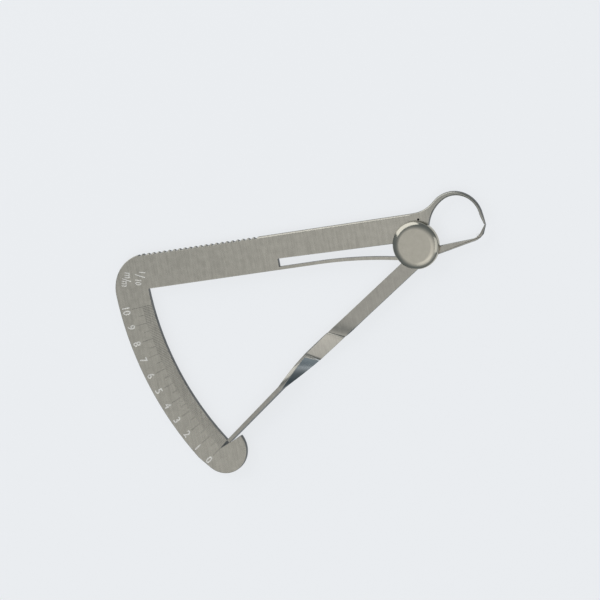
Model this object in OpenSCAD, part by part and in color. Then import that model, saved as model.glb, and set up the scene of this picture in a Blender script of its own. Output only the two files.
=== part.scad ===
// Spring caliper cut from sheet steel. Arm and pointer are squeezed together to open the jaws,
// the leaf in the arm closes them, and the needle shows the opening on the curved scale.
// The pivot axis is Z, the back disc's underside lies at z = 0 and the jaws point to +X.

/* [Sheet] */
// Thickness of the steel sheet
sheet_t = 1.3; // [1.1:0.05:1.6]
// Flat broken along the finger edge of the arm
edge_break = 0.35; // [0.2:0.05:0.45]
// Radius of the punch mark beside the pivot head
punch_r = 0.3; // [0.15:0.05:0.4]
// Distance of the punch mark from the pivot
punch_reach = 6.45; // [6.4:0.05:7]
// Angle of the punch mark above the arm's direction
punch_angle = 75.5; // [70:0.5:85]

/* [Arm] */
// Height of the finger edge above the pivot axis
arm_top = 7.9; // [7.5:0.1:8.6]
// Depth of the lower edge below the pivot axis
arm_low = 1.3; // [1:0.05:1.5]
// Radius of the outer corner between arm and scale
corner_r = 9.6; // [8:0.1:10.5]
// Number of grip grooves in the finger edge
grip_count = 23; // [4:1:23]
// Spacing of the grip grooves
grip_pitch = 1.5; // [1.3:0.05:1.5]
// Depth of a grip groove
grip_depth = 0.4; // [0.2:0.05:0.45]
// Radius of the cutter that makes a grip groove
grip_r = 0.55; // [0.5:0.05:0.65]
// Distance from the pivot to the first grip groove
grip_start = 42.5; // [40:0.5:42.5]

/* [Slot and leaf] */
// Distance from the pivot to the closed end of the slot
slot_length = 37.6; // [34:0.2:40]
// Height of the slot's upper edge at its closed end
slot_top = 1.6; // [1.4:0.05:2]
// Height of the slot's upper edge at the pivot
slot_top_hub = 1; // [0.9:0.05:1.4]
// Thickness of the leaf in the plane of the sheet
leaf_t = 0.8; // [0.5:0.05:0.9]
// Distance from the pivot at which the leaf begins to bend down
leaf_straight = 27; // [24:0.5:28]
// Radius of the leaf's bend at rest
leaf_bend_r = 125; // [115:1:160]
// Distance from the pivot to the toe that bears on the lever
toe_reach = 4.7; // [4.7:0.05:5]
// Radius of the toe
toe_r = 0.55; // [0.45:0.05:0.7]

/* [Scale] */
// Radius of the scale's outer edge
scale_r_out = 84.5; // [82:0.1:88]
// Radius of the scale's inner edge
scale_r_in = 75; // [72.6:0.2:76]
// Angle from the arm down to the zero of the scale
zero_angle = 35.65; // [34.5:0.05:37]
// Radius of the scale's round end
lobe_r = 6.4; // [6:0.05:7]
// Angle of the round end's centre past the zero of the scale
lobe_turn = 0.65; // [0.2:0.05:1]
// Distance by which the round end stays inside the outer edge
lobe_inset = 0.5; // [0.2:0.05:0.8]
// Angle by which the stop face opens away from the needle
stop_flare = 10; // [4:1:14]
// Widest opening that the scale shows
max_open = 10; // [8:0.5:10]
// Divisions of the scale to the millimetre
divisions = 10; // [2:1:10]
// Length of the shortest graduation
mark_short = 2.9; // [2:0.1:3]
// Further length of each longer step of graduation
mark_step = 1.6; // [0.8:0.1:1.7]
// Width of a graduation
mark_w = 0.1; // [0.08:0.01:0.16]
// Depth of a graduation
mark_depth = 0.06; // [0.04:0.01:0.1]

/* [Jaws] */
// Distance from the pivot to the point where the jaws meet
jaw_reach = 18.5; // [18:0.1:20]
// Angle of the meeting point above the arm's direction
jaw_angle = 7.75; // [6:0.25:9]
// Width of the meeting faces
tip_w = 0.36; // [0.3:0.02:0.8]
// Thickness of the jaws at the meeting faces
tip_t = 0.6; // [0.4:0.05:1]
// Height of the hook's crown above the pivot axis
hook_rise = 11.95; // [11.6:0.05:12.6]
// Outer radius of the hook
hook_r = 7.2; // [6.9:0.05:7.4]
// Width of the hook at its crown
crown_w = 1.15; // [0.9:0.05:1.4]
// Width of the hook where it begins to run down to the tip
bow_w = 0.62; // [0.4:0.02:0.8]
// Distance by which the tip leans out beyond the hook
tip_lean = 0.38; // [0.2:0.02:0.6]
// Radius of the hook's inner flare towards the arm
flare_r = 9.5; // [8.5:0.1:10.5]
// Angle round the hook at which the inner flare begins
flare_from = 117; // [105:1:125]
// Radius of the fillet between finger edge and hook
root_fillet_r = 9; // [7:0.1:10]
// Distance from the meeting point back to the lower jaw's elbow
elbow_back = 2.5; // [2.3:0.1:3.5]
// Depth of the elbow's inner edge below the pivot axis
elbow_low = 0.48; // [0.3:0.02:0.6]
// Width of the lower jaw at its elbow
elbow_w = 0.7; // [0.5:0.05:0.8]
// Inner radius of the lower jaw's elbow
elbow_r = 3.5; // [1.5:0.1:4]
// Width of the lower jaw at the edge of the pivot head
jaw_root_w = 2; // [1.6:0.1:2.4]
// Depth of the lower jaw's upper edge at the edge of the pivot head
jaw_root_low = 1.05; // [0.8:0.05:1.2]

/* [Pointer] */
// Angle from the arm down to the flat part of the pointer
bar_angle = 33.05; // [32.5:0.05:33.6]
// Width of the flat part
bar_w = 3.87; // [3.5:0.01:4.1]
// Distance from the pivot at which the twist begins
twist_start = 32; // [28:0.5:35]
// Distance from the pivot at which the twist is complete
twist_end = 53.5; // [50:0.5:57]
// Angle turned at once in the crease where the twist begins
twist_set = 12; // [6:1:16]
// Angle reached where the twist tightens
twist_held = 18; // [17:1:24]
// Distance from the pivot at which the twist tightens
twist_tight = 41; // [38:0.5:42]
// Angle reached in the crease where the twist tightens
twist_knee = 34; // [28:1:45]
// Slant of the creases, half of it on either side of the strip's middle
crease_lean = 1.4; // [0.5:0.1:1.6]
// Swelling of the strip's upper edge along the twist
twist_swell = 0.22; // [0:0.02:0.3]
// Depth of the needle on edge, where the twist is complete
needle_depth = 3.5; // [3:0.1:3.8]
// Depth of the needle on edge, beside the scale
needle_end_depth = 2.9; // [2.4:0.1:3.2]
// Thickness of the needle where the twist is complete
needle_t = 1.15; // [0.9:0.05:1.2]
// Thickness of the needle beside the scale
needle_end_t = 0.95; // [0.7:0.05:1]
// Distance from the zero line to the needle's reading face
face_lead = 0.12; // [0:0.02:0.2]
// Length of the fine tip over the scale
tip_over = 2.8; // [2:0.1:3.5]
// Thickness of the fine tip at its end
point_t = 0.14; // [0.1:0.02:0.3]

/* [Pivot] */
// Radius of the rivet's shank
shank_r = 1.5; // [1.2:0.05:1.8]
// Radius of the halved hubs
hub_r = 3.7; // [3.4:0.05:3.8]
// Radius of the lever's heel between bar and jaw
heel_r = 5.5; // [5:0.1:5.8]
// Radius of the rivet's head
head_r = 6.05; // [5.8:0.05:6.1]
// Height of the head's rim
rim_h = 1.5; // [1:0.05:1.6]
// Radius on the edge of the rim
rim_round = 0.5; // [0.2:0.05:0.6]
// Radius of the raised face of the head
face_r = 4.95; // [4.6:0.05:5.2]
// Height of the whole head
head_h = 1.72; // [1.66:0.02:2]
// Radius of the back disc
back_r = 5; // [4.6:0.05:5.8]
// Thickness of the back disc
back_t = 1.3; // [1.2:0.05:2]
// Radius on the edge of the back disc
back_round = 0.5; // [0.2:0.05:0.6]
// Widening of the shank where it is closed over the back disc
closing_w = 0.4; // [0.2:0.05:0.6]

/* [Clearances] */
// Radial clearance of the lever on the shank
run_gap = 0.03; // [0.02:0.01:0.06]
// Radial clearance of the fixed pieces on the shank
seat_gap = 0.02; // [0.01:0.01:0.04]
// Play of lever and leaf between frame, head and back disc
side_play = 0.04; // [0.03:0.01:0.08]
// Clearance round each halved hub
hub_gap = 0.2; // [0.15:0.05:0.3]
// Gap at the leaf's root
root_gap = 0.06; // [0.05:0.01:0.1]
// Gap between the jaws, and between needle and stop
touch_gap = 0.05; // [0.04:0.01:0.08]
// Gap between the leaf's toe and the lever
toe_gap = 0.2; // [0.18:0.01:0.25]
// Height of the needle's tip above the scale
scale_gap = 0.15; // [0.1:0.05:0.3]
// Gap between the needle's end and the scale's inner edge
needle_gap = 0.4; // [0.3:0.05:0.6]
// Step from the bar's faces down to the strip that is twisted
twist_step = 0.02; // [0.01:0.01:0.05]

/* [Hidden] */
$fn = 96;

// Levels
sheet_back = back_t;
sheet_front = back_t + sheet_t;
sheet_mid = (sheet_back + sheet_front) / 2;
lever_t = sheet_t - 2 * side_play;
pass = 1;
far = 2 * scale_r_out;
break_w = sqrt(2) * edge_break;

// Outer corner: round in the arm's finger edge, tangent to the scale's outer edge
corner_y = arm_top - corner_r;
corner_x = -sqrt(pow(scale_r_out - corner_r, 2) - pow(corner_y, 2));

// Hook: bow, inner round, flare and root fillet, each tangent to the next
hook_c = [jaw_reach - tip_lean - hook_r, hook_rise - hook_r];
inner_r = hook_r - crown_w;
inner_c = [hook_c.x + hook_r - bow_w - inner_r, hook_c.y];
bow_end = 4;
flare_to = 165;
flare_c = inner_c - (flare_r - inner_r) * turn(flare_from);
root_c = [
    hook_c.x - sqrt(pow(hook_r + root_fillet_r, 2) - pow(arm_top + root_fillet_r - hook_c.y, 2)),
    arm_top + root_fillet_r
];
root_to = atan2(hook_c.y - root_c.y, hook_c.x - root_c.x) + 360;
hook_from = root_to - 180;

// Round end of the scale: the outer edge leaves its arc a little before the zero
run_out = 1.65;
lobe_c = (scale_r_out - lobe_inset - lobe_r) * turn(180 + zero_angle + lobe_turn);

// Leaf: straight from its root, then bent down round a large radius to its toe
leaf_y = -arm_low + leaf_t / 2;
leaf_turn = asin((leaf_straight - toe_reach) / leaf_bend_r);
leaf_end = [-toe_reach, leaf_y - leaf_bend_r * (1 - cos(leaf_turn))];
leaf_up = turn(90 - leaf_turn);
toe_c = leaf_end - (toe_r - leaf_t / 2) * leaf_up;

// Pointer bar: its upper edge bears on the toe
bar_off = toe_r + toe_gap - toe_c * [-sin(bar_angle), cos(bar_angle)];
bar_mid = bar_off + bar_w / 2;

// Needle: from the bar's middle line over to the scale, its reading face by the zero line
tip_r = scale_r_in + tip_over;
needle_end_r = scale_r_in - needle_gap;
twist_lead = zero_angle - bar_angle;
twist_from = [twist_start * cos(twist_lead) + bar_mid * sin(twist_lead),
    bar_mid * cos(twist_lead) - twist_start * sin(twist_lead)];
twist_to_y = needle_t / 2 - face_lead;
twist_run = twist_end - twist_from.x;
twist_rise = -tan(twist_lead) * twist_run;
twist_lap = 0.5;
crease_run = 1;
twist_rings = 48;
needle_rings = 12;
tip_rings = 8;

// Lower jaw: its upper edge runs straight from below the hub to the elbow
elbow = [jaw_reach - elbow_back, -elbow_low];
jaw_slope = (jaw_root_low - elbow_low) / (elbow.x - head_r);
jaw_start = [0, -jaw_root_low - jaw_slope * head_r];

function turn(a) = [cos(a), sin(a)];
function arc(c, r, from, to, n) = [for (i = [0:n]) c + r * turn(from + (to - from) * i / n)];
function ease(u) = u * u * (3 - 2 * u);
function mix(a, b, u) = a + (b - a) * u;

// Rotation of the lever for a jaw opening
function swing(open) = 2 * asin(open / (2 * jaw_reach));

// Frame

// Outline cut from the sheet, with play left on both faces of what moves between head and disc
module sheet(play = 0) {
    translate([0, 0, sheet_back + play])
        linear_extrude(sheet_t - 2 * play)
            children();
}

module arm_and_scale() {
    difference() {
        intersection() {
            circle(r = scale_r_out, $fn = 360);
            union() {
                translate([-scale_r_out, -arm_low])
                    square([scale_r_out + root_c.x + pass, arm_top + arm_low]);
                difference() {
                    polygon([[0, 0], [-far, 0], [-far, -far * tan(zero_angle - run_out)]]);
                    circle(r = scale_r_in, $fn = 360);
                }
            }
        }
        difference() {
            translate([corner_x - 2 * corner_r, corner_y])
                square(2 * corner_r);
            translate([corner_x, corner_y])
                circle(r = corner_r);
        }
        slot();
        for (i = [0:grip_count - 1])
            translate([-grip_start - i * grip_pitch, arm_top + grip_r - grip_depth])
                circle(r = grip_r, $fn = 24);
    }
}

// The slot takes in the leaf's own place, down past the arm's lower edge
module slot() {
    polygon([
        [-slot_length, -arm_low - pass],
        [-slot_length, slot_top],
        [0, slot_top_hub],
        [0, -arm_low - pass]
    ]);
}

// Round end of the scale: the outer edge runs straight into it, and it is cut back inside the
// inner edge to leave a stop for the needle
module lobe() {
    stop_y = needle_end_t - face_lead + touch_gap;
    stop_run = 3 * lobe_r;
    edge_end = scale_r_out * turn(180 + zero_angle - run_out);
    to_edge = edge_end - lobe_c;
    touch = atan2(to_edge.y, to_edge.x) + 360 + acos(lobe_r / norm(to_edge));
    difference() {
        union() {
            translate(lobe_c)
                circle(r = lobe_r);
            polygon([
                lobe_c,
                scale_r_in * turn(180 + zero_angle - run_out),
                edge_end,
                lobe_c + lobe_r * turn(touch)
            ]);
        }
        intersection() {
            circle(r = scale_r_in, $fn = 360);
            rotate(180 + zero_angle)
                polygon([
                    [scale_r_in + pass, stop_y - pass * tan(stop_flare)],
                    [scale_r_in - stop_run, stop_y + stop_run * tan(stop_flare)],
                    [scale_r_in - stop_run, -stop_run],
                    [scale_r_in + pass, -stop_run]
                ]);
        }
    }
}

module hook() {
    meet = jaw_angle + touch_gap / jaw_reach * 90 / PI;
    polygon(concat(
        arc(root_c, root_fillet_r, 270, root_to, 8),
        arc(hook_c, hook_r, hook_from, bow_end, 40),
        [(jaw_reach + tip_w / 2) * turn(meet), (jaw_reach - tip_w / 2) * turn(meet)],
        arc(inner_c, inner_r, bow_end, flare_from, 32),
        arc(flare_c, flare_r, flare_from, flare_to, 14),
        [[0, 0], [root_c.x, slot_top_hub]]
    ));
}

// Wedge above or below the sheet that thins a jaw from height y towards its meeting face
module tip_wedge(y, up, side) {
    meet_y = jaw_reach * sin(jaw_angle);
    slant = atan((sheet_t - tip_t) / 2 / abs(meet_y - y));
    translate([elbow.x, y, sheet_mid + side * sheet_t / 2])
        rotate([-up * side * slant, 0, 0])
            translate([0, up > 0 ? 0 : -jaw_reach, side > 0 ? 0 : -sheet_t])
                cube([jaw_reach, jaw_reach, sheet_t]);
}

// Graduations: short at each division, longer at each half and whole millimetre
module graduations() {
    for (i = [0:max_open * divisions]) {
        long = i % divisions == 0 ? 2 : (2 * i % divisions == 0 ? 1 : 0);
        rotate(180 + zero_angle - swing(i / divisions))
            translate([scale_r_in - pass, -mark_w / 2, sheet_front - mark_depth])
                cube([pass + mark_short + long * mark_step, mark_w, pass]);
    }
}

module frame() {
    color([0.6, 0.59, 0.56])
        difference() {
            union() {
                sheet()
                    arm_and_scale();
                sheet()
                    lobe();
                sheet()
                    hook();
                sheet()
                    circle(r = hub_r);
            }
            // Half lap for the lever's hub
            translate([0, 0, sheet_back - pass])
                cylinder(r = hub_r + hub_gap, h = pass + sheet_t / 2 + side_play / 2);
            translate([0, 0, sheet_back])
                cylinder(r = shank_r + seat_gap, h = sheet_t + pass);
            // Broken finger edge, front and back, stopped short of the rounds at its ends
            for (z = [sheet_back, sheet_front])
                translate([(corner_x + root_c.x) / 2, arm_top, z])
                    rotate([45, 0, 0])
                        cube([root_c.x - corner_x - 2 * edge_break, break_w, break_w], center = true);
            tip_wedge(hook_c.y, -1, 1);
            tip_wedge(hook_c.y, -1, -1);
            graduations();
            translate([each punch_reach * turn(punch_angle), sheet_front - punch_r])
                cylinder(r1 = 0, r2 = punch_r, h = punch_r, $fn = 24);
        }
}

// Leaf

module leaf_spring() {
    root_x = root_gap - slot_length;
    bend_c = [-leaf_straight, leaf_y - leaf_bend_r];
    toe_side = asin((toe_r - leaf_t) / toe_r);
    toe_span = toe_r / leaf_bend_r * 180 / PI;
    color([0.6, 0.59, 0.56])
        sheet(side_play)
            polygon(concat(
                [[root_x, leaf_y + leaf_t / 2]],
                arc(bend_c, leaf_bend_r + leaf_t / 2, 90, 90 - leaf_turn, 24),
                arc(toe_c, toe_r, 90 - leaf_turn, -180 - toe_side - leaf_turn, 24),
                arc(bend_c, leaf_bend_r - leaf_t / 2, 90 - leaf_turn + toe_span, 90, 24),
                [[root_x, leaf_y - leaf_t / 2]]
            ));
}

// Lever

module bar() {
    rotate(180 + bar_angle)
        polygon([
            [0, bar_off],
            [twist_start + crease_lean, bar_off],
            [twist_start - crease_lean, bar_off + bar_w],
            [0, bar_off + bar_w]
        ]);
}

module lower_jaw() {
    meet = jaw_angle - touch_gap / jaw_reach * 90 / PI;
    inner = (jaw_reach - tip_w / 2) * turn(meet);
    outer = (jaw_reach + tip_w / 2) * turn(meet);
    rise = atan2(inner.y - elbow.y, inner.x - elbow.x);
    lean = atan(jaw_slope);
    // The bend's centre lies above the elbow, on the line that halves its angle
    bend_c = elbow + elbow_r / cos((rise - lean) / 2) * turn((rise + lean) / 2 + 90);
    low_root = [head_r, -jaw_root_low - jaw_root_w];
    low_elbow = elbow + elbow_w * turn((rise + lean) / 2 - 90);
    low_slope = (low_elbow.y - low_root.y) / (low_elbow.x - low_root.x);
    polygon(concat(
        [jaw_start],
        arc(bend_c, elbow_r, lean - 90, rise - 90, 6),
        [inner, outer],
        arc(bend_c, elbow_r + elbow_w, rise - 90, lean - 90, 6),
        [[0, low_root.y - low_slope * head_r]]
    ));
}

// Heel that ties bar, hub and jaw together under the rivet's head
module heel() {
    past_bar = 20;
    past_jaw = 25;
    intersection() {
        circle(r = heel_r);
        polygon([
            [0, 0],
            far * turn(180 + bar_angle + past_bar),
            far * turn(270),
            far * turn(-past_jaw)
        ]);
    }
}

// Strip section at a place along the pointer: middle, half depth, half thickness, twist and slant
function strip_ring(x, y, slope, half_w, half_t, twist, lean = 0) =
    let (side = [-sin(slope), cos(slope), 0])
    let (broad = cos(twist) * side - [0, 0, sin(twist)])
    let (flat = [0, 0, cos(twist)] + sin(twist) * side)
    [for (k = [[-1, 1], [1, 1], [1, -1], [-1, -1]])
        [x - k[0] * lean, y, sheet_mid] + k[0] * half_w * broad + k[1] * half_t * flat];

// Offset from the zero line along the twist: starts along the bar, ends beside the line
function drift(u) = mix(twist_from.y, twist_to_y, ease(u)) + twist_rise * u * (1 - u) * (1 - u);

function drift_slope(u) =
    let (turn_in = 6 * u * (1 - u) * (twist_to_y - twist_from.y))
    let (lead_in = twist_rise * (1 - u) * (1 - 3 * u))
    atan((turn_in + lead_in) / twist_run);

// The strip begins inside the bar, a small step below its faces
function twist_root() =
    strip_ring(twist_from.x - twist_lap * cos(twist_lead), twist_from.y + twist_lap * sin(twist_lead),
        -twist_lead, bar_w / 2 - twist_step, lever_t / 2 - twist_step, 0, crease_lean);

// A crease where the strip leaves the bar, another where the twist tightens, then a quarter turn
function twist_angle(x) = lookup(x, [
    [twist_from.x, 0],
    [twist_from.x + crease_run, twist_set],
    [twist_tight, twist_held],
    [twist_tight + crease_run, twist_knee],
    [twist_end, 90]
]);

// The swelling comes in with the first crease and fades towards the needle
function swell(u) = twist_swell * min(1, u * twist_run / crease_run) * (1 - u);

function twist_part() = [for (i = [0:twist_rings])
    let (u = i / twist_rings)
    let (half_w = mix(bar_w / 2 - twist_step, needle_depth / 2, u) + swell(u) / 2)
    let (half_t = mix(lever_t / 2 - twist_step, needle_t / 2, u))
    let (x = mix(twist_from.x, twist_end, u))
    strip_ring(x, drift(u) - swell(u) / 2, drift_slope(u),
        half_w, half_t, twist_angle(x), crease_lean * (1 - u))];

function needle_part() = [for (i = [1:needle_rings])
    let (u = i / needle_rings)
    let (half_t = mix(needle_t, needle_end_t, u) / 2)
    strip_ring(mix(twist_end, needle_end_r, u), half_t - face_lead, 0,
        mix(needle_depth, needle_end_depth, u) / 2, half_t, 90)];

function tip_part() = [for (i = [1:tip_rings])
    let (u = i / tip_rings)
    let (low = sheet_t / 2 + scale_gap + point_t)
    let (half_t = mix(needle_end_t, point_t, u) / 2)
    strip_ring(mix(needle_end_r, tip_r, u), half_t - face_lead * (1 - u), 0,
        mix(needle_end_depth / 2, low, u), half_t, 90)];

module strip(rings) {
    last = len(rings) - 1;
    polyhedron(
        points = [for (ring = rings) each ring],
        faces = concat(
            [[3, 2, 1, 0]],
            [for (i = [0:last - 1]) for (k = [0:3]) each
                let (a = 4 * i + k, b = 4 * i + (k + 1) % 4)
                [[a, b + 4, a + 4], [a, b, b + 4]]],
            [[4 * last, 4 * last + 1, 4 * last + 2, 4 * last + 3]]
        )
    );
}

module needle() {
    difference() {
        rotate(180 + zero_angle)
            strip(concat([twist_root()], twist_part(), needle_part(), tip_part()));
        // Room for the scale under the fine tip
        difference() {
            translate([0, 0, -far])
                cylinder(r = far, h = far + sheet_front + scale_gap);
            translate([0, 0, -2 * far])
                cylinder(r = needle_end_r, h = 4 * far, $fn = 360);
        }
    }
}

module pointer_lever() {
    color([0.6, 0.59, 0.56])
        union() {
            difference() {
                union() {
                    sheet(side_play)
                        circle(r = hub_r);
                    sheet(side_play)
                        heel();
                    sheet(side_play)
                        bar();
                    sheet(side_play)
                        lower_jaw();
                }
                // Half lap for the frame's hub
                translate([0, 0, sheet_mid - side_play / 2])
                    cylinder(r = hub_r + hub_gap, h = sheet_t);
                cylinder(r = shank_r + run_gap, h = sheet_front);
                tip_wedge(elbow.y, 1, 1);
                tip_wedge(elbow.y, 1, -1);
            }
            needle();
        }
}

// Pivot

module pivot_rivet() {
    color([0.62, 0.61, 0.58])
        rotate_extrude()
            polygon(concat(
                [[0, 0], [shank_r + closing_w, 0], [shank_r, closing_w], [shank_r, sheet_front]],
                [[head_r, sheet_front]],
                arc([head_r - rim_round, sheet_front + rim_h - rim_round], rim_round, 0, 90, 6),
                [[face_r, sheet_front + head_h], [0, sheet_front + head_h]]
            ));
}

module back_disc() {
    color([0.6, 0.59, 0.56])
        rotate_extrude()
            polygon(concat(
                [[shank_r + closing_w + seat_gap, 0]],
                arc([back_r - back_round, back_round], back_round, -90, 0, 6),
                [[back_r, sheet_back], [shank_r + seat_gap, sheet_back]],
                [[shank_r + seat_gap, closing_w]]
            ));
}

frame();
leaf_spring();
pointer_lever();
pivot_rivet();
back_disc();
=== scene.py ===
import math

import bmesh
import bpy
from mathutils import Matrix, Quaternion, Vector


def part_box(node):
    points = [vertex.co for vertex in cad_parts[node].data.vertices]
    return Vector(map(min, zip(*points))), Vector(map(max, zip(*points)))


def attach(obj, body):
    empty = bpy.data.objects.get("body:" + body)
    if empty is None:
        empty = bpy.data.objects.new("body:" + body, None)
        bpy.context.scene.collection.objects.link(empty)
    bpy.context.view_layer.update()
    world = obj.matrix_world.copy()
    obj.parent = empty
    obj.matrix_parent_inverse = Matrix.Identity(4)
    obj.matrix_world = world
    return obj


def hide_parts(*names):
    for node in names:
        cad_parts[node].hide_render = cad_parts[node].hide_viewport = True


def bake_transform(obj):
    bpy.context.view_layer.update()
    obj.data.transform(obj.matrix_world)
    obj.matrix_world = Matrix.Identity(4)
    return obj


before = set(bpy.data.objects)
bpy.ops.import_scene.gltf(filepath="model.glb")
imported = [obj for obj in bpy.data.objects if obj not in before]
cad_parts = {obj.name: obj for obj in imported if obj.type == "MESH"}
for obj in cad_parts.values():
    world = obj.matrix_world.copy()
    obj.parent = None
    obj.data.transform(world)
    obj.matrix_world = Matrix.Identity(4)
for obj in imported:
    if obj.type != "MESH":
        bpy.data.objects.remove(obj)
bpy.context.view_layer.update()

# Frame plate
# One piece of stainless sheet: finger arm, graduated sector and hooked upper jaw.
# It is sawn and filed to outline, ground flat, and the numbers are punched into its face.
MM = 0.001
plate_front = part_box("frame")[1].z


def node_copy(node):
    """A merged copy of a CAD node's mesh, with the triangles of each flat face joined."""
    merge_gap = 0.003 * MM
    flat_turn = math.radians(0.5)
    bm = bmesh.new()
    bm.from_mesh(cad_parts[node].data)
    bmesh.ops.remove_doubles(bm, verts=bm.verts, dist=merge_gap)
    bmesh.ops.dissolve_limit(bm, angle_limit=flat_turn, verts=bm.verts, edges=bm.edges)
    return bm


def piece(name, bm, *materials):
    """Turns a bmesh into an object at the origin."""
    mesh = bpy.data.meshes.new(name)
    bm.to_mesh(mesh)
    bm.free()
    for material in materials:
        mesh.materials.append(material)
    obj = bpy.data.objects.new(name, mesh)
    bpy.context.scene.collection.objects.link(obj)
    return obj


def settle(obj):
    """Replaces an object's mesh by what its modifiers make of it."""
    bpy.context.view_layer.update()
    mesh = bpy.data.meshes.new_from_object(obj.evaluated_get(bpy.context.evaluated_depsgraph_get()))
    obj.modifiers.clear()
    obj.data = mesh


def rounded(name, bm, widest, width_of):
    """A piece with each corner edge rounded over by its own width, as filing and tumbling leave it."""
    weight = bm.edges.layers.float.new("bevel_weight_edge")
    for edge in bm.edges:
        edge[weight] = width_of(edge) / widest
    obj = piece(name, bm)
    rounding = obj.modifiers.new("rounding", "BEVEL")
    rounding.affect = "EDGES"
    rounding.limit_method = "WEIGHT"
    rounding.offset_type = "OFFSET"
    rounding.width = widest
    rounding.segments = 3
    rounding.profile = 0.5
    rounding.material = -1
    rounding.use_clamp_overlap = False
    settle(obj)
    return obj


def corner(edge, angle):
    """Whether an edge's two faces meet at more than the given angle."""
    return len(edge.link_faces) == 2 and edge.calc_face_angle() > angle


smooth_turn = math.radians(35)


def shade(obj):
    """Smooth shading that keeps sharp corners sharp and level faces flat."""
    level = 0.999
    mesh = obj.data
    mesh.set_sharp_from_angle(angle=smooth_turn)
    mesh.polygons.foreach_set("use_smooth", [abs(face.normal.z) < level for face in mesh.polygons])


def steel(name, light, dark, roughness, grain_turn=0.0, grain=1.0):
    """Stainless steel with grinding lines along its grain and faint cloudy patches."""
    lines_per_metre = (2600, 150, 900)
    clouds_per_metre = 700.0
    sheen_spread = 0.08
    scratch_depth = 0.004 * MM
    material = bpy.data.materials.new(name)
    material.use_nodes = True
    nodes, links = material.node_tree.nodes, material.node_tree.links
    shader = nodes["Principled BSDF"]
    shader.inputs["Metallic"].default_value = 1.0
    place = nodes.new("ShaderNodeTexCoord")

    lines_place = nodes.new("ShaderNodeMapping")
    lines_place.inputs["Rotation"].default_value = (0, 0, grain_turn)
    lines_place.inputs["Scale"].default_value = lines_per_metre
    links.new(place.outputs["Object"], lines_place.inputs["Vector"])
    lines = nodes.new("ShaderNodeTexNoise")
    lines.inputs["Scale"].default_value = 1.0
    lines.inputs["Detail"].default_value = 3.0
    links.new(lines_place.outputs["Vector"], lines.inputs["Vector"])

    clouds = nodes.new("ShaderNodeTexNoise")
    clouds.inputs["Scale"].default_value = clouds_per_metre
    clouds.inputs["Detail"].default_value = 4.0
    links.new(place.outputs["Object"], clouds.inputs["Vector"])

    tone = nodes.new("ShaderNodeMix")
    tone.data_type = "RGBA"
    tone.inputs["A"].default_value = (*dark, 1)
    tone.inputs["B"].default_value = (*light, 1)
    both = nodes.new("ShaderNodeMath")
    both.operation = "MULTIPLY_ADD"
    both.inputs[1].default_value = grain
    links.new(lines.outputs["Fac"], both.inputs[0])
    links.new(clouds.outputs["Fac"], both.inputs[2])
    share = nodes.new("ShaderNodeMapRange")
    share.inputs["From Min"].default_value = 0.25 + 0.5 * grain
    share.inputs["From Max"].default_value = 0.75 + 0.5 * grain
    links.new(both.outputs["Value"], share.inputs["Value"])
    links.new(share.outputs["Result"], tone.inputs["Factor"])
    links.new(tone.outputs["Result"], shader.inputs["Base Color"])

    sheen = nodes.new("ShaderNodeMapRange")
    sheen.inputs["To Min"].default_value = roughness - sheen_spread
    sheen.inputs["To Max"].default_value = roughness + sheen_spread
    links.new(clouds.outputs["Fac"], sheen.inputs["Value"])
    links.new(sheen.outputs["Result"], shader.inputs["Roughness"])

    scratch = nodes.new("ShaderNodeBump")
    scratch.inputs["Strength"].default_value = 0.5 * grain
    scratch.inputs["Distance"].default_value = scratch_depth
    links.new(lines.outputs["Fac"], scratch.inputs["Height"])
    links.new(scratch.outputs["Normal"], shader.inputs["Normal"])
    return material


def dulled(material, value, start, end, colour):
    """Blends a steel into another tone as a value in its nodes goes from start to end, to paint shade or
    reflection into it.
    """
    nodes, links = material.node_tree.nodes, material.node_tree.links
    share = nodes.new("ShaderNodeMapRange")
    share.interpolation_type = "SMOOTHSTEP"
    share.inputs["From Min"].default_value = start
    share.inputs["From Max"].default_value = end
    links.new(value, share.inputs["Value"])
    painted_mix = nodes.new("ShaderNodeMix")
    painted_mix.data_type = "RGBA"
    painted_mix.inputs["B"].default_value = (*colour, 1)
    shader = nodes["Principled BSDF"]
    links.new(shader.inputs["Base Color"].links[0].from_socket, painted_mix.inputs["A"])
    links.new(share.outputs["Result"], painted_mix.inputs["Factor"])
    links.new(painted_mix.outputs["Result"], shader.inputs["Base Color"])


face_steel = steel("ground_face", (0.485, 0.463, 0.405), (0.395, 0.377, 0.33), 0.27)
# The hook is painted darker than the ground arm, blending in from 1 mm to 9 mm along x: a painted shade
hook_shade_from, hook_shade_to = 1 * MM, 9 * MM
hook_shade_tone = (0.335, 0.33, 0.295)
face_nodes, face_links = face_steel.node_tree.nodes, face_steel.node_tree.links
face_axes = face_nodes.new("ShaderNodeSeparateXYZ")
face_links.new(face_nodes["Texture Coordinate"].outputs["Object"], face_axes.inputs["Vector"])
dulled(face_steel, face_axes.outputs["X"], hook_shade_from, hook_shade_to, hook_shade_tone)
# Filed walls: steel painted nearly black, a painted shade for walls turned away from the light
shaded_edge_steel = steel("filed_edge_painted_shade", (0.16, 0.165, 0.165), (0.10, 0.105, 0.105), 0.42, math.radians(90))
# Punched grooves: steel painted nearly white, a painted highlight for light caught by the stamped strokes
stamp_highlight_steel = steel("punched_groove_painted_highlight", (0.90, 0.88, 0.83), (0.76, 0.74, 0.70), 0.35)
line_steel = steel("cut_line", (0.33, 0.32, 0.29), (0.23, 0.225, 0.205), 0.5)
# Pit: steel painted near black, a painted shade inside the hollow
pit_shade_steel = steel("pit_painted_shade", (0.07, 0.07, 0.068), (0.04, 0.04, 0.04), 0.6)


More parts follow.
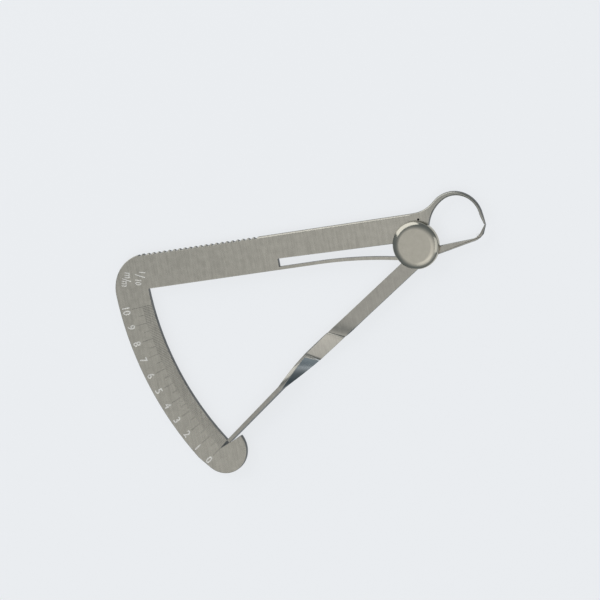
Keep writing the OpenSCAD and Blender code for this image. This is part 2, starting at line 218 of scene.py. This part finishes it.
# Numbers of the scale, each a shallow punch mark with sloping walls, read from the sector's end
def punch(body, middle, turn, height, slim, thin):
    """A cutter in the shape of a number or sign, tapering into the steel from the plate's face."""
    slope = 0.08 * MM
    cap_share = 0.73
    curve = bpy.data.curves.new("punch", "FONT")
    curve.body = body
    curve.align_x = "CENTER"
    curve.align_y = "CENTER"
    curve.size = height / cap_share
    curve.extrude = slope
    curve.bevel_depth = slope
    curve.offset = -thin
    text = bpy.data.objects.new("punch", curve)
    mesh = bpy.data.meshes.new_from_object(text)
    bpy.data.objects.remove(text)
    bpy.data.curves.remove(curve)
    mesh.transform(Matrix.Diagonal((slim, 1, 1, 1)))
    mesh.transform(Matrix.Translation((*middle, plate_front + slope)) @ Matrix.Rotation(turn, 4, "Z"))
    return mesh


zero_turn = math.radians(180 + 35.65)
jaw_reach = 18.5 * MM
numeral_r = 82.8 * MM
numeral_h = 2.2 * MM
numeral_slim = 0.8
stroke_trim = 0.01 * MM
punches = []
for opening in range(11):
    turn = zero_turn - 2 * math.asin(opening * MM / 2 / jaw_reach)
    middle = numeral_r * Vector((math.cos(turn), math.sin(turn)))
    punches.append(punch(str(opening), middle, turn + math.pi / 2, numeral_h, numeral_slim, stroke_trim))

# The unit beside the scale: tenths of a millimetre, as two slanting fractions across the sector
legend_turn = math.radians(-102)
legend_slim = 0.72
legend_axes = Matrix.Rotation(legend_turn, 2)
tenth_middle = Vector((-76.93, 1.77)) * MM
tenth_marks = (("1", (-1.6, 0.7), 1.85), ("/", (-0.6, 0.0), 2.9), ("10", (1.0, -0.42), 1.75))
unit_middle = Vector((-80.73, 1.95)) * MM
unit_marks = (("m", (-1.1, 0.5), 2.2), ("/", (0.16, 0.0), 2.5), ("m", (1.2, -0.35), 2.2))
for middle, marks in ((tenth_middle, tenth_marks), (unit_middle, unit_marks)):
    for body, place, height in marks:
        spot = middle + legend_axes @ (Vector(place) * MM)
        punches.append(punch(body, spot, legend_turn, height * MM, legend_slim, stroke_trim))

# Edges are broken all round, and rounded over broadly along the hook, less so towards its tip
hook_middle = Vector((10.92, 4.75)) * MM
hook_r = 7.2 * MM
hook_run = 5 * MM
tip_run = 4 * MM
tip_share = 0.35
root_middle = Vector((0.205, 16.9)) * MM
root_r = 9.0 * MM
root_run = 4 * MM
bow_round = 0.45 * MM
rim_round = 0.13 * MM
near_curve = 0.05 * MM
groove_depth = 0.2 * MM
level_tilt = 0.9
broad_face = 5 * MM * MM


def ramp(value, length):
    """How much of a length has been covered, from 0 to 1."""
    return min(max(value / length, 0.0), 1.0)


def plate_round(edge):
    """Width of the rounding: broad round the back of the hook, fine along the rest of the outline."""
    if not corner(edge, math.radians(30)):
        return 0.0
    for face in edge.link_faces:
        depth = max(v.co.z for v in face.verts) - min(v.co.z for v in face.verts)
        on_broad_face = abs(face.normal.z) > level_tilt and face.calc_area() > broad_face
        if depth < groove_depth and not on_broad_face:
            return 0.0
    middle = ((edge.verts[0].co + edge.verts[1].co) / 2).xy
    from_root, from_hook = middle - root_middle, middle - hook_middle
    broad = 0.0
    if abs(from_root.length - root_r) < near_curve:
        broad = ramp(from_root.x, root_run)
    elif from_hook.length < hook_r + near_curve:
        broad = ramp(from_hook.y, hook_run) * (1.0 - tip_share * ramp(from_hook.x, tip_run))
    return rim_round + broad * (bow_round - rim_round)


# Side walls are filed and painted dark, a painted shade; the graduations are cut lines, coloured darker;
# and the small pit beside the hub is painted near black, a painted shade
pit_turn = math.radians(75.5)
pit_away = 6.45 * MM
pit_middle = pit_away * Vector((math.cos(pit_turn), math.sin(pit_turn)))
pit_r = 0.35 * MM
pit_low = 0.02 * MM
wall_tilt = 0.3
line_low, line_high = 0.03 * MM, 0.1 * MM
line_area = 1 * MM * MM
plate = rounded("frame_plate", node_copy("frame"), bow_round, plate_round)
plate_bm = bmesh.new()
plate_bm.from_mesh(plate.data)
for face in plate_bm.faces:
    sunk = plate_front - face.calc_center_median().z
    face.material_index = 1 if abs(face.normal.z) < wall_tilt else 0
    if line_low < sunk < line_high and face.calc_area() < line_area:
        face.material_index = 2
    # The pit's sunk faces are painted near black, a painted shade
    if sunk > pit_low and (face.calc_center_median().xy - pit_middle).length < pit_r:
        face.material_index = 3
bmesh.ops.triangulate(plate_bm, faces=plate_bm.faces)
plate_bm.to_mesh(plate.data)
plate_bm.free()
for material in (face_steel, shaded_edge_steel, line_steel, pit_shade_steel):
    plate.data.materials.append(material)

weld_gap = 0.0005 * MM
stamp_bm = bmesh.new()
for mesh in punches:
    stamp_bm.from_mesh(mesh)
    bpy.data.meshes.remove(mesh)
bmesh.ops.remove_doubles(stamp_bm, verts=stamp_bm.verts, dist=weld_gap)
bmesh.ops.recalc_face_normals(stamp_bm, faces=stamp_bm.faces)
stamps = piece("stamps", stamp_bm, stamp_highlight_steel)
# The grooves take the punched-groove steel, painted bright as a highlight
cut = plate.modifiers.new("stamped", "BOOLEAN")
cut.operation = "DIFFERENCE"
cut.solver = "MANIFOLD"
cut.material_mode = "TRANSFER"
cut.object = stamps
settle(plate)
bpy.data.objects.remove(stamps)
shade(plate)
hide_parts("frame")
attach(plate, "frame")

# Leaf spring
# The tongue that the slot leaves standing in the arm: it is one with the plate at its root,
# is bent down to press on the lever, and on the real caliper flexes along its whole length; here it is
# cut across into even parts along that length.
root_lap = 0.12 * MM
near_root = 0.01 * MM
cut_gap = 0.001 * MM
leaf_parts = 24
leaf_bm = node_copy("leaf_spring")
leaf_low, leaf_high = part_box("leaf_spring")
for vert in leaf_bm.verts:
    if vert.co.x < leaf_low.x + near_root:
        vert.co.x -= root_lap
for part in range(1, leaf_parts):
    cut_at = Vector((leaf_low.x + part / leaf_parts * (leaf_high.x - leaf_low.x), 0, 0))
    bmesh.ops.bisect_plane(leaf_bm, geom=leaf_bm.verts[:] + leaf_bm.edges[:] + leaf_bm.faces[:],
                           dist=cut_gap, plane_co=cut_at, plane_no=(1, 0, 0))
# The leaf's side walls take the filed steel, painted dark as shade
for face in leaf_bm.faces:
    face.material_index = 1 if abs(face.normal.z) < wall_tilt else 0
leaf = piece("leaf_tongue", leaf_bm, face_steel, shaded_edge_steel)
shade(leaf)
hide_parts("leaf_spring")
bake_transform(leaf)

# Pointer lever
# One strip of the same sheet: lower jaw, hub and flat bar, then twisted a quarter turn
# so that the needle stands on edge, and drawn to a fine point over the scale.
bar_steel = steel("ground_bar", (0.41, 0.395, 0.35), (0.345, 0.33, 0.295), 0.22, math.radians(57), 0.8)
bar_angle = math.radians(180 + 33.05)
bar_axis = Vector((math.cos(bar_angle), math.sin(bar_angle), 0))
bar_side = Vector((-bar_axis.y, bar_axis.x, 0))
# Where the twist turns the strip sideways, its colour follows how far its surface faces sideways: a light
# bluish painted reflection as it begins to turn, then painted shade where it stands upright
painted_reflection_from, painted_reflection_to = 0.48, 0.58
painted_reflection_tone = (0.66, 0.70, 0.71)
upright_shade_from, upright_shade_to = 0.60, 0.90
upright_shade_tone = (0.12, 0.135, 0.14)
bar_nodes = bar_steel.node_tree.nodes
sideways = bar_nodes.new("ShaderNodeAttribute")
sideways.attribute_name = "sideways"
dulled(bar_steel, sideways.outputs["Fac"], painted_reflection_from, painted_reflection_to, painted_reflection_tone)
dulled(bar_steel, sideways.outputs["Fac"], upright_shade_from, upright_shade_to, upright_shade_tone)
bar_nodes["Principled BSDF"].inputs["Specular Tint"].default_value = (0.35, 0.37, 0.38, 1)

# The bar dips a little before the crease where its twist begins, and the crease is a soft bend
bar_from = 15 * MM
crease_at = 32 * MM
crease_lean = 1.4 * MM
crease_run = 1.0 * MM
crease_turn = math.radians(12)
soft_before = 1.5 * MM
soft_run = 4 * MM
dip_turn = math.radians(8)
dip_run = 7 * MM
dip_in = 5 * MM
dip_end = 2 * MM
dip_out = 2.5 * MM
dip_parts = 16
lever_bm = node_copy("pointer_lever")
sides = [v.co.dot(bar_side) for v in lever_bm.verts
         if bar_from < v.co.dot(bar_axis) < crease_at + crease_lean]
bar_w = max(sides) - min(sides)
bar_mid_z = (plate_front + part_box("frame")[0].z) / 2
bar_middle = (max(sides) + min(sides)) / 2 * bar_side + Vector((0, 0, bar_mid_z))
crease_way = bar_axis + 2 * crease_lean / bar_w * bar_side


def past_crease(vert):
    """How far a vertex lies beyond the slanting crease, along the bar."""
    return (vert.co - bar_middle).dot(crease_way) - crease_at


for part in range(1, dip_parts + 1):
    bmesh.ops.bisect_plane(lever_bm, geom=lever_bm.verts[:] + lever_bm.edges[:] + lever_bm.faces[:],
                           dist=cut_gap, plane_no=crease_way,
                           plane_co=bar_middle + (crease_at - dip_run * part / dip_parts) * bar_axis)
for vert in lever_bm.verts:
    if vert.co.dot(bar_axis) < bar_from:
        continue
    past = past_crease(vert)
    soft = ramp(past + soft_before, soft_run)
    eased = soft * soft * (3 - 2 * soft)
    dip = ramp(past + dip_run, dip_in) ** 2 * (1 - ramp(past + dip_end, dip_out))
    bend = Matrix.Rotation(dip_turn * dip - crease_turn * (eased - ramp(past, crease_run)), 3, bar_axis)
    vert.co = bar_middle + bend @ (vert.co - bar_middle)

# Its edges are broken finely, the jaw's more, and its point is filed and painted dark, a painted shade
jaw_round = 0.2 * MM
jaw_from, jaw_to = 6 * MM, 16 * MM
strip_round = 0.06 * MM
near_crease = 0.2 * MM
point_from = 74.5 * MM


def lever_round(edge):
    """Width of the rounding: broader along the jaw than on the bar and the needle, none in the crease."""
    in_crease = any(abs(past_crease(vert)) < near_crease for vert in edge.verts)
    if in_crease or not corner(edge, math.radians(40)):
        return 0.0
    along = (edge.verts[0].co.x + edge.verts[1].co.x) / 2
    return jaw_round if jaw_from < along < jaw_to else strip_round


lever = rounded("lever_strip", lever_bm, jaw_round, lever_round)
lever.data.materials.append(bar_steel)
lever.data.materials.append(shaded_edge_steel)
# The needle's point takes the filed steel, painted dark as shade
for face in lever.data.polygons:
    face.material_index = 1 if face.center.xy.length > point_from else 0
lever.data.set_sharp_from_angle(angle=smooth_turn)
even = lever.modifiers.new("even", "WEIGHTED_NORMAL")
even.keep_sharp = True
settle(lever)
# How far each corner's normal faces sideways, which the bar steel turns into painted reflection and shade
turned = lever.data.attributes.new("sideways", "FLOAT", "CORNER")
turned.data.foreach_set("value", [normal.vector.dot(bar_side) for normal in lever.data.corner_normals])
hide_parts("pointer_lever")
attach(lever, "lever")

# Pivot rivet
# Turned from bar: a broad head on the scale side and a shank through both hubs.
# The head's face is polished smooth, and its edge is turned off at a slant and rounded over.
rivet_steel = steel("turned_head", (0.48, 0.455, 0.39), (0.43, 0.41, 0.35), 0.14, grain=0.0)
rivet_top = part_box("pivot_rivet")[1].z
head_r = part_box("pivot_rivet")[1].x
face_r = 4.9 * MM
slant_h = 0.67 * MM
rim_corner = 0.3 * MM
face_corner = 0.7 * MM
corner_steps = 6
turn_steps = 128
shank_r = 1.5 * MM
shank_end_r = 1.9 * MM
shank_end_h = shank_end_r - shank_r
rivet_bm = bmesh.new()
outline = [rivet_bm.verts.new((r, 0, z)) for r, z in (
    (0, 0), (shank_end_r, 0), (shank_r, shank_end_h), (shank_r, plate_front), (head_r, plate_front),
    (head_r, rivet_top - slant_h), (face_r, rivet_top), (0, rivet_top))]
for start, end in zip(outline, outline[1:]):
    rivet_bm.edges.new((start, end))
for vert, rounding in ((outline[5], rim_corner), (outline[6], face_corner)):
    bmesh.ops.bevel(rivet_bm, geom=[vert], offset=rounding, offset_type="OFFSET", affect="VERTICES",
                    segments=corner_steps, profile=0.5, material=-1)
bmesh.ops.spin(rivet_bm, geom=rivet_bm.verts[:] + rivet_bm.edges[:], cent=(0, 0, 0), axis=(0, 0, 1),
               angle=2 * math.pi, steps=turn_steps, use_merge=True)
bmesh.ops.remove_doubles(rivet_bm, verts=rivet_bm.verts, dist=weld_gap)
bmesh.ops.recalc_face_normals(rivet_bm, faces=rivet_bm.faces)
rivet = piece("rivet_head", rivet_bm, rivet_steel)
shade(rivet)
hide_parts("pivot_rivet")
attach(rivet, "frame")

# Back disc
# Turned washer on the back, which the end of the rivet's shank is spread over.
disc = piece("back_washer", node_copy("back_disc"), rivet_steel)
shade(disc)
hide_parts("back_disc")
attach(disc, "frame")

# Floor
# A plain pale sheet under the caliper, large enough to fill every view. Camera and reflections
# see it a little lighter than the lamps make it, and it keeps the caliper's shadow.
floor_half = 3.0
floor_lift = 0.8
floor_bm = bmesh.new()
bmesh.ops.create_grid(floor_bm, x_segments=1, y_segments=1, size=floor_half)
pale = bpy.data.materials.new("pale_floor")
pale.use_nodes = True
floor_nodes, floor_links = pale.node_tree.nodes, pale.node_tree.links
paper = floor_nodes["Principled BSDF"]
paper.inputs["Base Color"].default_value = (0.84, 0.86, 0.885, 1)
paper.inputs["Roughness"].default_value = 0.9
glow = floor_nodes.new("ShaderNodeEmission")
glow.inputs["Color"].default_value = (0.90, 0.92, 0.945, 1)
ray = floor_nodes.new("ShaderNodeLightPath")
seen = floor_nodes.new("ShaderNodeMath")
seen.operation = "MAXIMUM"
floor_links.new(ray.outputs["Is Camera Ray"], seen.inputs[0])
floor_links.new(ray.outputs["Is Glossy Ray"], seen.inputs[1])
through = floor_nodes.new("ShaderNodeMath")
through.operation = "MAXIMUM"
floor_links.new(seen.outputs["Value"], through.inputs[0])
floor_links.new(ray.outputs["Is Transmission Ray"], through.inputs[1])
lift = floor_nodes.new("ShaderNodeMath")
lift.operation = "MULTIPLY"
lift.inputs[1].default_value = floor_lift
floor_links.new(through.outputs["Value"], lift.inputs[0])
lifted = floor_nodes.new("ShaderNodeMixShader")
floor_links.new(lift.outputs["Value"], lifted.inputs["Fac"])
floor_links.new(paper.outputs["BSDF"], lifted.inputs[1])
floor_links.new(glow.outputs["Emission"], lifted.inputs[2])
floor_links.new(lifted.outputs["Shader"], floor_nodes["Material Output"].inputs["Surface"])
floor = piece("floor", floor_bm, pale)

# Studio light
# A room that is bright overhead and dim towards the horizon, with soft panels in front of the
# caliper, low on its far left and on its right.
overhead = (-0.05, -0.30, 0.953)
horizon_tone = (0.2, 0.23, 0.25)
overhead_tone = (1.14, 1.14, 1.14)
overhead_focus = 7.0
world = bpy.data.worlds.new("room")
world.use_nodes = True
sky_nodes, sky_links = world.node_tree.nodes, world.node_tree.links
sky_place = sky_nodes.new("ShaderNodeTexCoord")
facing_up = sky_nodes.new("ShaderNodeVectorMath")
facing_up.operation = "DOT_PRODUCT"
facing_up.inputs[1].default_value = overhead
sky_links.new(sky_place.outputs["Generated"], facing_up.inputs[0])
above = sky_nodes.new("ShaderNodeMath")
above.operation = "MAXIMUM"
above.inputs[1].default_value = 0.0
sky_links.new(facing_up.outputs["Value"], above.inputs[0])
rise = sky_nodes.new("ShaderNodeMath")
rise.operation = "POWER"
rise.inputs[1].default_value = overhead_focus
sky_links.new(above.outputs["Value"], rise.inputs[0])
sky = sky_nodes.new("ShaderNodeMix")
sky.data_type = "RGBA"
sky.inputs["A"].default_value = (*horizon_tone, 1)
sky.inputs["B"].default_value = (*overhead_tone, 1)
sky_links.new(rise.outputs["Value"], sky.inputs["Factor"])
sky_links.new(sky.outputs["Result"], sky_nodes["Background"].inputs["Color"])
bpy.context.scene.world = world


def panel(name, towards, width, height, radiance):
    """A soft rectangular light that faces the caliper from the given direction."""
    distance = 1.2
    lamp = bpy.data.lights.new(name, "AREA")
    lamp.shape = "RECTANGLE"
    lamp.size = width
    lamp.size_y = height
    lamp.energy = radiance * math.pi * width * height
    light = bpy.data.objects.new(name, lamp)
    direction = Vector(towards).normalized()
    light.location = distance * direction
    light.rotation_euler = direction.to_track_quat("Z", "Y").to_euler()
    bpy.context.scene.collection.objects.link(light)


panel("front_panel", (-0.104, -0.535, 0.839), 0.6, 0.53, 0.25)
panel("left_panel", (-0.548, 0.708, 0.446), 1.3, 1.04, 1.4)
panel("right_panel", (0.70, -0.214, 0.682), 0.85, 0.76, 0.75)

# Camera
# A long lens above the caliper, to its right and a little beyond it, turned to the photograph's roll.
camera_place = Vector((201.167, 65.142, 583.082)) * MM
camera_aim = Vector((-33.590, -9.703, 2.6)) * MM
camera_roll = math.radians(-117)
lens = bpy.data.cameras.new("camera")
lens.sensor_width = 36
lens.lens = 148.32
lens.clip_start = 0.01
camera = bpy.data.objects.new("camera", lens)
camera.location = camera_place
look = (camera_aim - camera_place).to_track_quat("-Z", "Y")
camera.rotation_euler = (look @ Quaternion((0, 0, 1), camera_roll)).to_euler()
bpy.context.scene.collection.objects.link(camera)
bpy.context.scene.camera = camera
bpy.context.scene.view_settings.view_transform = "Standard"
